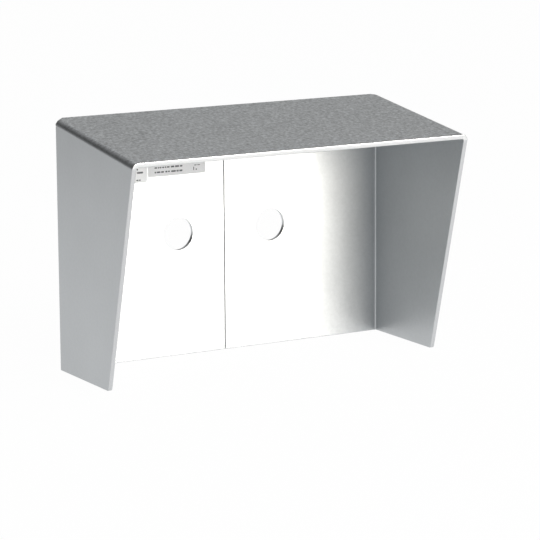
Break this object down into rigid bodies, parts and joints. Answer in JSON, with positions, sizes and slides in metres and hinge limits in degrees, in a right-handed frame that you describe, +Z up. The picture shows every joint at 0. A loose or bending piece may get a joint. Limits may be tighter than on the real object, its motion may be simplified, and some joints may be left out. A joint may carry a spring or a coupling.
{
  "type": "camera weather hood",
  "caption": "Weather hood folded from aluminium sheet: sloping roof, tapering sides and a split back plate with round cable holes, open at the front and below.",
  "frame": {"origin": "middle of the bottom of the bounding box: at the foot, halfway across the width and halfway between the wall and the roof's front edge", "axes": "+X to the right as seen from the front, +Y into the wall, +Z up"},
  "size_m": [0.24, 0.1084, 0.1615],
  "materials": {
    "aluminium_sheet": "fine matt grain, clear anodised, cut edges lightly broken",
    "pale_film": "matt pale film, no print",
    "grey_film": "satin light grey film, no print"
  },
  "bodies": {
    "root": {"hood": "aluminium_sheet", "name_sticker": "pale_film", "data_sticker": "grey_film"}
  },
  "joints": []
}
